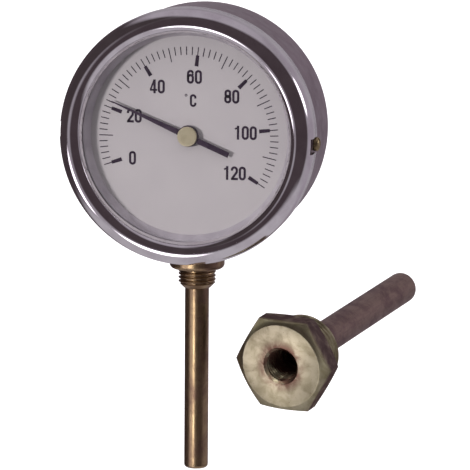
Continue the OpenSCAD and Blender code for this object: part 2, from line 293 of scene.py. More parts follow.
def brass(name, clean, stained, dark, rough, stain_size, seed, metallic=1.0, grain=(1, 1, 1)):
    """Brass in three tones: clean metal, a stain over it and dark specks."""
    paint = Paint(name, clean, metallic, rough[0])
    stain = paint.noise(stain_size, 5, seed=seed, roughness=0.62, distortion=0.6)
    specks = paint.noise(0.8, 4, seed=seed + 1, roughness=0.7)
    grained = paint.noise(0.7, 3, stretch=grain, seed=seed + 2)
    tone = paint.blend(paint.spread(stain, 0.40, 0.66), clean, stained)
    tone = paint.blend(paint.spread(grained, 0.35, 0.75, 0.0, 0.45), tone, stained)
    paint.color(paint.blend(paint.spread(specks, 0.58, 0.74, 0.0, 0.8), tone, dark))
    paint.rough(paint.spread(stain, 0.3, 0.7, *rough))
    paint.bump(grained, 0.008)
    paint.bump(specks, 0.005)
    return paint.material


def pocket_brass():
    """Turned brass: a clean face with a brown stain round the mouth, and tarnished sides; on the threaded
    neck the tarnish is thinned as a painted highlight.
    """
    paint = Paint("brass_pocket", (0.62, 0.56, 0.38), 1.0, 0.34)
    paint.set("Anisotropic", 0.8)
    paint.set("Specular Tint", (0.35, 0.30, 0.30, 1.0))
    tangent = paint.node("ShaderNodeTangent", direction_type="RADIAL", axis="Z")
    paint.link(tangent.outputs[0], paint.shader.inputs["Tangent"])
    cloud = paint.noise(5, 5, seed=14, roughness=0.62, distortion=0.5)
    specks = paint.noise(0.9, 4, seed=15, roughness=0.7)
    tone = paint.blend(paint.spread(cloud, 0.38, 0.68), (0.53, 0.49, 0.33), (0.38, 0.34, 0.21))
    near_mouth = paint.spread(paint.from_axis(), 6.4, 10.4, 1.0, 0.0)
    near_mouth = paint.times(near_mouth, paint.spread(cloud, 0.3, 0.58))
    tone = paint.blend(near_mouth, tone, (0.20, 0.11, 0.08))
    tone = paint.blend(paint.spread(specks, 0.60, 0.74, 0.0, 0.75), tone, (0.20, 0.12, 0.10))
    tarnish = paint.blend(paint.spread(cloud, 0.35, 0.7), (0.24, 0.175, 0.17), (0.14, 0.10, 0.10))
    behind_face = paint.spread(paint.along_axis(), 0.9, 3.2)
    tarnish_thinned_for_neck_highlight = paint.times(behind_face, paint.spread(cloud, 0.25, 0.55, 0.35, 0.95))
    tarnish_thinned_for_neck_highlight = paint.times(tarnish_thinned_for_neck_highlight, paint.spread(paint.from_axis(), 8.0, 11.0))
    # Painted highlight: on the threaded neck the tarnish thins to about a third, so the neck reads
    # lighter.
    tarnish_thinned_for_neck_highlight = paint.times(tarnish_thinned_for_neck_highlight, paint.spread(paint.along_axis(), 9.2, 10.0, 1.0, 0.35))
    paint.color(paint.blend(tarnish_thinned_for_neck_highlight, tone, tarnish))
    side_rough = paint.spread(paint.along_axis(), 0.2, 1.4, 0.0, 0.2)
    paint.rough(paint.plus(paint.spread(cloud, 0.3, 0.7, 0.30, 0.40), side_rough))
    paint.bump(paint.rings(0.24, 0.3), 0.0012)
    paint.bump(specks, 0.004)
    return paint.material


def painted(name, color, worn, rough, size, seed):
    """Paint with a slight cloud of colour and a fine orange peel."""
    paint = Paint(name, color, 0.0, rough)
    cloud = paint.noise(size, 4, seed=seed)
    paint.color(paint.blend(paint.spread(cloud, 0.3, 0.75), color, worn))
    paint.rough(paint.spread(paint.noise(2.5, 3, seed=seed + 1), 0.3, 0.7, rough - 0.08, rough + 0.08))
    paint.bump(paint.noise(0.45, 3, seed=seed + 2), 0.004)
    return paint.material


def steel(name, color, rough=0.35, seed=50.0, grain=(1, 1, 0.1)):
    """Brushed steel, its grain along the piece's Z axis unless grain says otherwise."""
    paint = Paint(name, color, 1.0, rough)
    grained = paint.noise(0.5, 3, stretch=grain, seed=seed)
    worn = tuple(0.7 * c for c in color)
    paint.color(paint.blend(paint.spread(grained, 0.3, 0.75), color, worn))
    paint.rough(paint.spread(grained, 0.3, 0.7, rough - 0.1, rough + 0.1))
    paint.bump(grained, 0.005)
    return paint.material


def silvered():
    """Smooth silver paint with a soft sheen."""
    paint = Paint("silver_paint", (0.60, 0.56, 0.61), 0.35, 0.42)
    cloud = paint.noise(6, 3, seed=40)
    paint.color(paint.blend(paint.spread(cloud, 0.3, 0.7), (0.64, 0.60, 0.65), (0.52, 0.48, 0.53)))
    paint.rough(paint.spread(cloud, 0.3, 0.7, 0.38, 0.48))
    paint.bump(paint.noise(0.5, 2, seed=41), 0.001)
    return paint.material


def rubber():
    paint = Paint("rubber_black", (0.03, 0.03, 0.03), 0.0, 0.75)
    dust = paint.noise(1.5, 4, seed=60)
    paint.color(paint.blend(paint.spread(dust, 0.45, 0.75), (0.025, 0.025, 0.027), (0.07, 0.068, 0.065)))
    paint.bump(paint.noise(0.3, 3, seed=61), 0.01)
    return paint.material


def window_glass():
    paint = Paint("glass_window", (0.03, 0.03, 0.03), 0.0, 0.03)
    paint.set("Alpha", 0.10)
    paint.set("IOR", 1.5)
    smear = paint.noise(18, 3, seed=70)
    paint.rough(paint.spread(smear, 0.4, 0.7, 0.02, 0.08))
    paint.color(paint.blend(smear, (0.03, 0.03, 0.03), (0.07, 0.07, 0.075)))
    paint.bump(smear, 0.002)
    return paint.material


INK = painted("ink_black", (0.020, 0.009, 0.024), (0.042, 0.024, 0.048), 0.5, 3, 34.0)
POINTER_BLACK = painted("pointer_black", (0.035, 0.020, 0.040), (0.060, 0.040, 0.065), 0.38, 3, 37.0)
BEZEL_CHROME = chromed_bezel()
CUP_CHROME = chromed_cup()
STEM_BRASS = brass("brass_stem", (0.42, 0.31, 0.18), (0.24, 0.155, 0.11), (0.08, 0.045, 0.045),
                   rough=(0.28, 0.42), stain_size=7, seed=10, grain=(1, 1, 0.08))
POCKET_BRASS = pocket_brass()
TUBE_BRASS = brass("brass_tube", (0.28, 0.20, 0.17), (0.17, 0.11, 0.11), (0.08, 0.05, 0.055),
                   rough=(0.42, 0.58), stain_size=8, seed=18, grain=(1, 1, 0.12))
CAP_BRASS = brass("brass_cap", (0.68, 0.61, 0.42), (0.58, 0.51, 0.34), (0.30, 0.26, 0.16),
                  rough=(0.30, 0.42), stain_size=2.2, seed=22, metallic=0.35)
SCREW_BRASS = brass("brass_screw", (0.42, 0.34, 0.19), (0.25, 0.19, 0.11), (0.10, 0.07, 0.05),
                    rough=(0.30, 0.48), stain_size=1.6, seed=26)
GEAR_BRASS = brass("brass_gear", (0.72, 0.58, 0.28), (0.55, 0.42, 0.20), (0.30, 0.22, 0.12),
                   rough=(0.25, 0.38), stain_size=3, seed=28)

SLOT_MATERIALS = {
    "chromed_cup": CUP_CHROME,
    "chromed_bezel": BEZEL_CHROME,
    "screw_brass": SCREW_BRASS,
    "window": window_glass(),
    "rubber": rubber(),
    "ring_paint": silvered(),
    "sheet_steel": steel("steel_sheet", (0.50, 0.50, 0.50)),
    "dial_paint": painted("dial_white", (0.62, 0.585, 0.595), (0.59, 0.555, 0.57), 0.55, 12, 43.0),
    "pointer_paint": POINTER_BLACK,
    "cap_brass": CAP_BRASS,
    "shaft_steel": steel("steel_shaft", (0.60, 0.60, 0.62), 0.28, 53.0),
    "gear_brass": GEAR_BRASS,
    "stem_brass": STEM_BRASS,
    "bimetal": steel("bimetal_strip", (0.45, 0.43, 0.40), 0.4, 56.0, (0.1, 0.1, 1)),
    "pocket_brass": POCKET_BRASS,
    "tube_brass": TUBE_BRASS,
}

for row in frame["record"]["subparts"]:
    node = frame["nodes"][row["node"]]
    node.data.materials.clear()
    node.data.materials.append(SLOT_MATERIALS[row["material_slot"]])

# ---------------------------------------------------------------- mesh helpers


def add_piece(name, mesh, place, body, material, replaces=(), sharp=35):
    """Links mesh as a piece that stands in the frame `place` and rides on body."""
    for polygon in mesh.polygons:
        polygon.use_smooth = True
    mesh.set_sharp_from_angle(angle=math.radians(sharp))
    mesh.materials.append(material)
    piece = bpy.data.objects.new(name, mesh)
    bpy.context.scene.collection.objects.link(piece)
    piece.matrix_world = place
    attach(piece, body)
    if replaces:
        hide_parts(*replaces)
    return piece


def mesh_of(name, bm):
    bmesh.ops.recalc_face_normals(bm, faces=bm.faces)
    mesh = bpy.data.meshes.new(name)
    bm.to_mesh(mesh)
    bm.free()
    return mesh


def angles(count):
    return [TAU * i / count for i in range(count)]


def ring_of(radius, height, turns):
    """Points in millimetres at those angles; radius and height may be functions of the angle."""
    points = []
    for a in turns:
        r = radius(a) if callable(radius) else radius
        z = height(a) if callable(height) else height
        points.append((r * math.cos(a), r * math.sin(a), z))
    return points


def lathe(name, rings, closed=True):
    """Joins rings of points into one skin. A closed one joins its last ring to its first."""
    bm = bmesh.new()
    rows = [[bm.verts.new(Vector(p) * MM) for p in ring] for ring in rings]
    count = len(rows[0])
    pairs = list(zip(rows, rows[1:]))
    if closed:
        pairs.append((rows[-1], rows[0]))
    for lower, upper in pairs:
        for i in range(count):
            j = (i + 1) % count
            bm.faces.new((lower[i], lower[j], upper[j], upper[i]))
    if not closed:
        bm.faces.new(rows[0])
        bm.faces.new(rows[-1])
    return mesh_of(name, bm)


def arc(centre, radius, start, end, steps):
    """Profile points (r, z) along an arc, angles in degrees."""
    points = []
    for i in range(steps + 1):
        a = math.radians(start + (end - start) * i / steps)
        points.append((centre[0] + radius * math.cos(a), centre[1] + radius * math.sin(a)))
    return points


def turned(name, profile, count=96, closed=True):
    return lathe(name, [ring_of(r, z, angles(count)) for r, z in profile], closed)


RINGS_PER_PITCH = 12


def thread_radius(crest, depth, pitch, sign):
    """Radius of a V thread by height and angle. sign -1 cuts inward from the crest, 1 outward."""

    def radius(z, a, fade):
        phase = (z / pitch - a / TAU) % 1.0
        groove = abs(2 * phase - 1)
        rounded = 0.5 - 0.5 * math.cos(math.pi * min(1.0, max(0.0, groove * 1.3 - 0.15)))
        return crest + sign * depth * (1 - rounded) * fade

    return radius


def threaded_rings(crest, depth, pitch, start, end, turns, run_out, sign=-1):
    """Rings of a thread between two heights, fading out over run_out millimetres at both ends."""
    radius = thread_radius(crest, depth, pitch, sign)
    steps = max(2, round(abs(end - start) / pitch * RINGS_PER_PITCH))
    rings = []
    for i in range(steps + 1):
        z = start + (end - start) * i / steps
        fade = min(1.0, min(abs(z - start), abs(z - end)) / run_out)
        rings.append(ring_of(lambda a: radius(z, a, fade), z, turns))
    return rings


# ---------------------------------------------------------------- bezel

CREST_R = 39.4
INNER_ROLL = 3.2
OUTER_ROLL = 5.0
SHEET = 0.7
SKIRT_R = CREST_R + OUTER_ROLL
NOTCH_HALF_WIDTH = 2.7
NOTCH_TOP = 7.0
DRIVE_ANGLES = (25, 70)
SCREW_COUNT = len(DRIVE_ANGLES)
SCREW_HEIGHT = -2.0
SCREW_TURN = math.radians(-2.2)
bezel_low, bezel_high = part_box("bezel")
CREST_Z = (dial_origin.y - bezel_low.y) / MM
SKIRT_Z = (dial_origin.y - bezel_high.y) / MM
LIP_Z = CREST_Z - INNER_ROLL
SHOULDER_Z = CREST_Z - OUTER_ROLL
NOTCH_HALF_ANGLE = math.asin(NOTCH_HALF_WIDTH / SKIRT_R)
NOTCH_END_DEGREES = math.degrees(math.asin((NOTCH_TOP - SHOULDER_Z) / OUTER_ROLL))


def bezel_angles():
    """Even steps, with a close pair at each side of each notch so that its walls stand square."""
    near = math.radians(0.02)
    half = NOTCH_HALF_ANGLE
    steps = 126
    turns = []
    for k in range(SCREW_COUNT):
        middle = SCREW_TURN + TAU * k / SCREW_COUNT
        turns += [middle - half - near, middle - half + near, middle + half - near, middle + half + near]
        turns += [middle + half * quarter / 4 for quarter in range(-3, 4)]
        span = TAU / SCREW_COUNT - 2 * half
        turns += [middle + half + span * i / steps for i in range(1, steps)]
    return sorted(a % TAU for a in turns)


def in_notch(a):
    step = TAU / SCREW_COUNT
    middle = SCREW_TURN + step * round((a - SCREW_TURN) / step)
    return abs(a - middle) < NOTCH_HALF_ANGLE


def bezel_section(notched):
    """Closed section of the rolled sheet. In a notch it stops part way down the outer roll."""
    edge = 0.15
    centre, lip_centre, inner_r = (CREST_R, SHOULDER_Z), (CREST_R, LIP_Z), OUTER_ROLL - SHEET
    upper = arc(lip_centre, INNER_ROLL, 180, 90, 20)[:-1]
    upper += arc(centre, OUTER_ROLL, 90, NOTCH_END_DEGREES, 16)
    lower = arc(centre, OUTER_ROLL, NOTCH_END_DEGREES, 0, 8)[1:]
    lower += [(SKIRT_R, SKIRT_Z + edge), (SKIRT_R - edge * 0.3, SKIRT_Z + edge * 0.3),
              (SKIRT_R - edge, SKIRT_Z), (SKIRT_R - SHEET, SKIRT_Z)]
    lower += arc(centre, inner_r, 0, NOTCH_END_DEGREES, 6)[:-1]
    inside = arc(centre, inner_r, NOTCH_END_DEGREES, 90, 8)
    inside += arc(lip_centre, INNER_ROLL - SHEET, 90, 180, 8)[1:]
    if notched:
        (r0, z0), (r1, z1) = upper[-1], inside[0]
        steps = [(i + 1) / (len(lower) + 1) for i in range(len(lower))]
        lower = [(r0 + (r1 - r0) * f, z0 + (z1 - z0) * f) for f in steps]
    return upper + lower + inside


def make_bezel():
    turns = bezel_angles()
    sections = [bezel_section(in_notch(a)) for a in turns]
    rings = []
    for points in zip(*sections):
        rings.append([(r * math.cos(a), r * math.sin(a), z) for (r, z), a in zip(points, turns)])
    add_piece("bezel_ring", lathe("bezel_ring", rings), DIAL, "thermometer",
              BEZEL_CHROME, ["bezel"], 40)


make_bezel()


def cut_away(base, tool):
    """The mesh of base cut by tool. Both objects are used up."""
    cut = base.modifiers.new("cut", "BOOLEAN")
    cut.object, cut.operation, cut.solver = tool, "DIFFERENCE", "EXACT"
    bpy.context.view_layer.update()
    graph = bpy.context.evaluated_depsgraph_get()
    mesh = bpy.data.meshes.new_from_object(base.evaluated_get(graph))
    for used in (base, tool):
        bpy.data.objects.remove(used)
    return mesh


def loose(name, mesh):
    """A helper object that is used up before the scene is finished."""
    made = bpy.data.objects.new(name, mesh)
    bpy.context.scene.collection.objects.link(made)
    return made


def block(name, low, high):
    """Box between two corners in millimetres."""
    bm = bmesh.new()
    made = bmesh.ops.create_cube(bm, size=1)
    for v in made["verts"]:
        v.co = Vector([(low[i] if v.co[i] < 0 else high[i]) * MM for i in range(3)])
    return mesh_of(name, bm)


def screw_mesh():
    """A domed head with a driver slot, on a short shank, its head towards +Z."""
    head_r, head_t, shank_r, reach = 2.4, 2.2, 1.2, 1.8
    lift, rim, chamfer = 0.02, 1.2, 0.12
    slot_half, slot_floor, past_head = 0.3, 1.4, 3
    profile = [(shank_r, -reach), (shank_r, lift), (head_r - chamfer, lift),
               (head_r, lift + chamfer), (head_r, rim)]
    for t in (0.2, 0.5, 0.8, 1.1, 1.35):
        profile.append((head_r * math.cos(t), rim + (head_t - rim) * math.sin(t)))
    head = loose("head", turned("head", profile, 48, False))
    low, high = (-slot_half, -past_head, slot_floor), (slot_half, past_head, past_head)
    return cut_away(head, loose("slot", block("slot", low, high)))


def make_screws():
    low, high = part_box("case_cup")
    cup_r = (high.x - low.x) / 2
    pattern = screw_mesh()
    bm = bmesh.new()
    for k, drive_angle in enumerate(DRIVE_ANGLES):
        copy = pattern.copy()
        copy.transform(
            Matrix.Rotation(SCREW_TURN + TAU * k / SCREW_COUNT, 4, "Z")
            @ Matrix.Translation((cup_r, 0, SCREW_HEIGHT * MM))
            @ Matrix.Rotation(math.pi / 2, 4, "Y")
            @ Matrix.Rotation(math.radians(drive_angle), 4, "Z")
        )
        bm.from_mesh(copy)
    add_piece("screws_domed", mesh_of("screws_domed", bm), DIAL, "thermometer",
              SCREW_BRASS, ["bezel_screws"], 30)


make_screws()


# ---------------------------------------------------------------- pointer and hub


TAIL_R, BLADE_R = 15.6, 29.2


def reading_turn():
    """Angle of the blade in the dial's frame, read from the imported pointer."""
    left = (dial_origin.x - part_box("pointer")[0].x) / MM
    return math.pi - math.acos(min(1.0, left / BLADE_R))


def depth_on_dial(node):
    """Back and front of a node above the dial's face, in millimetres."""
    low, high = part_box(node)
    return (dial_origin.y - high.y) / MM, (dial_origin.y - low.y) / MM


def radius_on_dial(node):
    low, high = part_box(node)
    return (high.x - low.x) / 2 / MM


def make_pointer():
    back, front = depth_on_dial("pointer")
    eye_r, root_half, tip_half, tail_half = 2.6, 1.15, 0.18, 0.95
    eye_start, eye_swing, eye_steps, edge = 200, 140, 14, 0.09
    outline = [(-TAIL_R, -tail_half), (-eye_r, -tail_half)]
    for i in range(eye_steps + 1):
        a = math.radians(eye_start + eye_swing * i / eye_steps)
        outline.append((eye_r * math.cos(a), eye_r * math.sin(a)))
    outline += [(eye_r + 0.4, -root_half * 0.9), (BLADE_R - 0.3, -tip_half), (BLADE_R, -tip_half * 0.4)]
    outline += [(x, -y) for x, y in reversed(outline)]
    bm = bmesh.new()
    bottom = [bm.verts.new(Vector((x, y, back)) * MM) for x, y in outline]
    top = bmesh.ops.extrude_face_region(bm, geom=[bm.faces.new(bottom)])
    for v in top["geom"]:
        if isinstance(v, bmesh.types.BMVert):
            v.co.z = front * MM
    rim = [e for e in bm.edges if all(abs(v.co.z - front * MM) < 1e-7 for v in e.verts)]
    bmesh.ops.bevel(bm, geom=rim, offset=edge * MM, segments=2, affect="EDGES", profile=0.6)
    place = DIAL @ Matrix.Rotation(reading_turn(), 4, "Z")
    add_piece("pointer_blade", mesh_of("pointer_blade", bm), place, "pointer_set",
              POINTER_BLACK, ["pointer"], 30)


def make_hub():
    back, front = depth_on_dial("hub_cap")
    cap_r, edge, edge_z = radius_on_dial("hub_cap"), 0.3, front - 0.35
    profile = [(cap_r - 0.05, back), (cap_r, back + 0.1), (cap_r, edge_z)]
    profile += arc((cap_r - edge, edge_z), edge, 0, 80, 5)[1:]
    profile += [(cap_r - 0.8, front - 0.02), (1.2, front), (1.0, front - 0.04)]
    add_piece("hub_cap_turned", turned("hub_cap_turned", profile, 72, False), DIAL,
              "pointer_set", CAP_BRASS, ["hub_cap"], 30)
    back, front = depth_on_dial("pointer_boss")
    boss_r, hole_r, edge = radius_on_dial("pointer_boss"), 0.85, 0.25
    profile = [(hole_r, back), (boss_r - 0.3, back), (boss_r, back + 0.2), (boss_r, front - edge)]
    profile += arc((boss_r - edge, front - edge), edge, 0, 90, 4)[1:]
    profile += [(hole_r, front)]
    add_piece("pointer_boss_turned", turned("pointer_boss_turned", profile, 72), DIAL,
              "pointer_set", POINTER_BLACK, ["pointer_boss"], 30)


make_pointer()
make_hub()

# ---------------------------------------------------------------- dial print

PRINT_T = 0.03
PRINT_LIFT = 0.004
PRINT = DIAL @ Matrix.Translation(Vector((-0.1, -0.7, 0)) * MM)
SCALE_SWEEP = 231
DIAL_TURN = 6.2
SCALE_TOP = 120
MARK_OUTER, MARK_INNER, MARK_INNER_AT_TENS, MARK_W = 31.5, 28.6, 26.6, 0.34
BLOCK_INNER, BLOCK_OUTER, BLOCK_INNER_W, BLOCK_OUTER_W = 24.9, 28.7, 1.35, 1.15


def scale_angle(reading):
    return math.radians(90 - DIAL_TURN + (SCALE_TOP / 2 - reading) * SCALE_SWEEP / SCALE_TOP)


def prism(bm, outline):
    """Thin solid over a closed outline of convex quads or polygons, in millimetres."""
    low = [bm.verts.new(Vector((x, y, PRINT_LIFT)) * MM) for x, y in outline]
    high = [bm.verts.new(Vector((x, y, PRINT_T)) * MM) for x, y in outline]
    bm.faces.new(low)
    bm.faces.new(high)
    for i in range(len(outline)):
        j = (i + 1) % len(outline)
        bm.faces.new((low[i], low[j], high[j], high[i]))


def mark(bm, reading, inner, outer, inner_w, outer_w):
    """Radial scale mark between two radii."""
    a = scale_angle(reading)
    along, across = Vector((math.cos(a), math.sin(a))), Vector((-math.sin(a), math.cos(a)))
    corners = [
        along * inner - across * inner_w / 2, along * outer - across * outer_w / 2,
        along * outer + across * outer_w / 2, along * inner + across * inner_w / 2,
    ]
    prism(bm, [tuple(c) for c in corners])


def make_scale():
    bm = bmesh.new()
    for reading in range(0, SCALE_TOP + 1, 2):
        inner = MARK_INNER_AT_TENS if reading % 20 == 10 else MARK_INNER
        mark(bm, reading, inner, MARK_OUTER, MARK_W, MARK_W)
        if reading % 20 == 0:
            mark(bm, reading, BLOCK_INNER, BLOCK_OUTER, BLOCK_INNER_W, BLOCK_OUTER_W)
    add_piece("dial_scale", mesh_of("dial_scale", bm), PRINT, "thermometer", INK)


def rounded_path(points, closed=False, steps=8):
    """Replaces each corner (x, y, radius) of a path with an arc."""
    made = []
    count = len(points)
    for i, (x, y, r) in enumerate(points):
        here = Vector((x, y))
        if r == 0 or (not closed and i in (0, count - 1)):
            made.append(here)
            continue
        before = Vector(points[i - 1][:2]) - here
        after = Vector(points[(i + 1) % count][:2]) - here
        half = before.angle(after) / 2
        reach = r / math.tan(half)
        start, end = here + before.normalized() * reach, here + after.normalized() * reach
        middle = here + (before.normalized() + after.normalized()).normalized() * (r / math.sin(half))
        a0 = math.atan2(start.y - middle.y, start.x - middle.x)
        a1 = math.atan2(end.y - middle.y, end.x - middle.x)
        swing = (a1 - a0 + math.pi) % TAU - math.pi
        for k in range(steps + 1):
            a = a0 + swing * k / steps
            made.append(middle + Vector((math.cos(a), math.sin(a))) * r)
    return made


def ribbon(bm, points, width, place, closed=False):
    """Flat band of ink along a path. Corners are mitred."""
    path = rounded_path(points, closed)
    count = len(path)
    left, right = [], []
    for i, here in enumerate(path):
        back = here - path[i - 1] if closed or i > 0 else None
        ahead = path[(i + 1) % count] - here if closed or i < count - 1 else None
        back, ahead = back or ahead, ahead or back
        if back.length < 1e-6:
            back = ahead
        if ahead.length < 1e-6:
            ahead = back
        tangent = (back.normalized() + ahead.normalized()).normalized()
        normal = Vector((-tangent.y, tangent.x))
        stretch = 1 / max(0.4, normal.dot(Vector((-ahead.y, ahead.x)).normalized()))
        left.append(here + normal * width / 2 * stretch)
        right.append(here - normal * width / 2 * stretch)
    levels = []
    for z in (PRINT_LIFT, PRINT_T):
        sides = []
        for side in (left, right):
            sides.append([bm.verts.new(place @ (Vector((p.x, p.y, z)) * MM)) for p in side])
        levels.append(sides)
    (low_l, low_r), (high_l, high_r) = levels
    last = count if closed else count - 1
    for i in range(last):
        j = (i + 1) % count
        bm.faces.new((low_l[i], low_l[j], low_r[j], low_r[i]))
        bm.faces.new((high_l[i], high_l[j], high_r[j], high_r[i]))
        bm.faces.new((low_l[i], low_l[j], high_l[j], high_l[i]))
        bm.faces.new((low_r[i], low_r[j], high_r[j], high_r[i]))
    if not closed:
        for i in (0, count - 1):
            bm.faces.new((low_l[i], low_r[i], high_r[i], high_l[i]))


DIGIT_W, DIGIT_H, STROKE, DIGIT_STEP = 2.5, 4.8, 0.82, 2.78


def loop(left, right, bottom, top, radius):
    """Corners of a closed round-cornered path."""
    return [(left, bottom, radius), (right, bottom, radius), (right, top, radius), (left, top, radius)]


def glyph(bm, character, place):
    """One numeral or the C, its lower left corner at the origin of place."""
    s = STROKE / 2
    left, right, bottom, top, middle = s, DIGIT_W - s, s, DIGIT_H - s, DIGIT_H * 0.53
    r = (right - left) / 2
    centre = DIGIT_W / 2

    def stroke(points, thickness=1.0, closed=False):
        ribbon(bm, points, STROKE * thickness, place, closed)

    if character == "0":
        stroke(loop(left, right, bottom, top, r), closed=True)
    elif character == "1":
        stroke([(centre + 0.25, 0, 0), (centre + 0.25, DIGIT_H, 0)])
        stroke([(centre - 0.12, DIGIT_H * 0.83, 0), (centre - 0.85, DIGIT_H * 0.76, 0)], 0.7)
    elif character == "2":
        stroke([(left, DIGIT_H * 0.68, 0), (left, top, r), (right, top, r), (right, DIGIT_H * 0.58, 0.9),
                (left + 0.05, s * 1.2, 0), (left + 0.05, 0.02, 0)])
        stroke([(left - s * 0.6, s, 0), (DIGIT_W, s, 0)])
    elif character == "4":
        stroke([(right - 0.42, 0, 0), (right - 0.42, DIGIT_H, 0)])
        stroke([(right - 0.6, DIGIT_H - 0.25, 0), (left - 0.1, DIGIT_H * 0.29, 0)], 0.72)
        stroke([(0, DIGIT_H * 0.25, 0), (DIGIT_W + 0.08, DIGIT_H * 0.25, 0)], 0.82)
    elif character == "6":
        stroke(loop(left, right, bottom, middle + s, r), closed=True)
        stroke([(left, DIGIT_H * 0.35, 0), (left, top, r), (right, top, r), (right, DIGIT_H * 0.74, 0)])
    elif character == "8":
        inset, overlap = 0.08, 0.35
        stroke(loop(left, right, bottom, middle, r), closed=True)
        stroke(loop(left + inset, right - inset, middle - overlap, top, r - inset), closed=True)
    elif character == "C":
        stroke([(right, DIGIT_H * 0.66, 0), (right, top, r), (left, top, r), (left, bottom, r),
                (right, bottom, r), (right, DIGIT_H * 0.34, 0)])


def word(bm, text, x, y, size=1.0):
    """Text centred on (x, y) in the dial's frame, upright on the dial."""
    width = (len(text) - 1) * DIGIT_STEP + DIGIT_W
    for i, character in enumerate(text):
        left, bottom = x - width * size / 2 + i * DIGIT_STEP * size, y - DIGIT_H * size / 2
        corner = Matrix.Translation(Vector((left, bottom, 0)) * MM)
        glyph(bm, character, corner @ Matrix.Diagonal((size, size, 1, 1)))


def make_numerals():
    bm = bmesh.new()
    for text, x, y in (("0", -19.7, -7.7), ("20", -19.1, 7.0), ("40", -11.0, 17.4), ("60", 2.0, 21.1),
                       ("80", 15.1, 14.7), ("100", 19.9, 2.3), ("120", 16.2, -11.8)):
        word(bm, text, x, y)
    word(bm, "C", 1.6, 12.9, 0.92)
    degree = Matrix.Translation(Vector((-0.9, 14.7, 0)) * MM)
    radius, stroke = 0.36, 0.26
    ring = [(radius * math.cos(a), radius * math.sin(a), 0) for a in angles(16)]
    ribbon(bm, ring, stroke, degree, True)
    add_piece("dial_numerals", mesh_of("dial_numerals", bm), PRINT, "thermometer", INK)


make_scale()
make_numerals()

# ---------------------------------------------------------------- socket and stem

THREAD_STEPS = 96
SMALL_THREAD_R, SMALL_THREAD_DEPTH, SMALL_THREAD_PITCH = 13.157 / 2, 0.80, 1.337
STEM_TOP_R = 4.05


def nosed(ring, end_z, end_r):
    """Turns a ring down to a 45 degree nose that is end_r wide at end_z."""
    made = []
    for x, y, z in ring:
        r = math.hypot(x, y)
        f = min(1.0, (end_r + z - end_z) / r)
        made.append((x * f, y * f, z))
    return made


def make_socket():
    low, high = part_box("socket")
    top, thread_end = high.z / MM, low.z / MM
    crest, depth, pitch = SMALL_THREAD_R, SMALL_THREAD_DEPTH, SMALL_THREAD_PITCH
    collar_r, collar_edge, spigot_r, spigot_edge, bore_r, tube_seat = 9.7, 1.6, 6.0, 0.4, 2.6, 2.0
    cup_low, cup_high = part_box("case_cup")
    cup_r, cup_z = (cup_high.x - cup_low.x) / 2 / MM, (cup_low.z + cup_high.z) / 2 / MM
    turns = angles(THREAD_STEPS)

    def on_cup(radius):
        return lambda a: cup_z - math.sqrt(cup_r**2 - (radius * math.cos(a)) ** 2)

    relief_r, relief_z, nose, gap = crest - depth, -0.9, 2.0, 0.1
    thread = threaded_rings(crest, depth, pitch, thread_end + gap, relief_z - gap, turns, run_out=0.5)
    rings = [ring_of(STEM_TOP_R, thread_end, turns)]
    rings += [nosed(ring, thread_end, crest - nose) for ring in thread]
    profile = [(relief_r, relief_z), (relief_r, -0.12), (relief_r + 0.1, 0.0)]
    profile += arc((collar_r - collar_edge, collar_edge), collar_edge, 270, 360, 7)
    rings += [ring_of(r, z, turns) for r, z in profile]
    rings += [ring_of(collar_r, on_cup(collar_r), turns), ring_of(spigot_r, on_cup(spigot_r), turns)]
    profile = [(spigot_r, top - spigot_edge), (spigot_r - spigot_edge, top), (bore_r, top),
               (bore_r, tube_seat), (STEM_TOP_R, tube_seat)]
    rings += [ring_of(r, z, turns) for r, z in profile]
    add_piece("socket_threaded", lathe("socket_threaded", rings), STEM, "thermometer",
              STEM_BRASS, ["socket"], 38)


def rounded_end(radius, end_z, edge, sign):
    """Profile from the rim of a closed end up to its side; sign is the way from the end into the piece."""
    points = []
    steps = 8
    for i in range(steps + 1):
        a = math.pi / 2 * i / steps
        points.append((radius - edge + edge * math.sin(a), end_z + sign * edge * (1 - math.cos(a))))
    return points


def make_stem():
    plug_low, plug_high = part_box("stem_plug")
    tube_low, tube_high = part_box("stem_tube")
    radius = (tube_high.x - tube_low.x) / 2 / MM
    end, seam, top = plug_low.z / MM, tube_low.z / MM, tube_high.z / MM
    wall, end_edge, seam_edge, step, seam_gap = 0.7, 1.1, 0.08, 0.015, 0.02
    inner, socket_z, end_r = radius - wall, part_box("socket")[0].z / MM, radius - step
    profile = [(0.6, end + 0.04), (1.8, end)] + rounded_end(end_r, end, end_edge, 1)
    profile += [(end_r, seam - seam_gap), (inner, seam - seam_gap), (inner, plug_high.z / MM)]
    add_piece("stem_end", turned("stem_end", profile, 96, False), STEM, "thermometer",
              STEM_BRASS, ["stem_plug"], 35)
    profile = [(inner, seam), (radius - seam_edge, seam), (radius, seam + seam_edge),
               (radius, socket_z - 0.1), (radius - 0.1, socket_z), (STEM_TOP_R, socket_z),
               (STEM_TOP_R, top), (inner, top)]
    add_piece("stem_body", turned("stem_body", profile, 96), STEM, "thermometer",
              STEM_BRASS, ["stem_tube"], 35)


make_socket()
make_stem()

# ---------------------------------------------------------------- pocket

HEX_AF, FACE_R, BACK_FACE_R, HEX_STEPS = 32.0, 14.9, 15.8, 180
HEX_H, NECK_LEN = 9.5, 10.5
NECK_R, NECK_THREAD_DEPTH, NECK_THREAD_PITCH = 26.441 / 2, 1.1, 1.814
MOUTH_R, MOUTH_DEPTH = 5.7225, 14.0
TUBE_R, TUBE_WALL, TUBE_SEAT = 5.8, 1.2, 16.0
POCKET_LEN, POCKET_END_R, PLUG_T = 104.0, 2.0, 2.0
POCKET_BORE_R = TUBE_R - TUBE_WALL


def hex_radius(a):
    """Distance from the axis to the hexagon, with its corners at whole multiples of 60 degrees."""
    sector = (a + TAU / 12) % (TAU / 6) - TAU / 12
    return HEX_AF / 2 / math.cos(TAU / 12 - abs(sector))


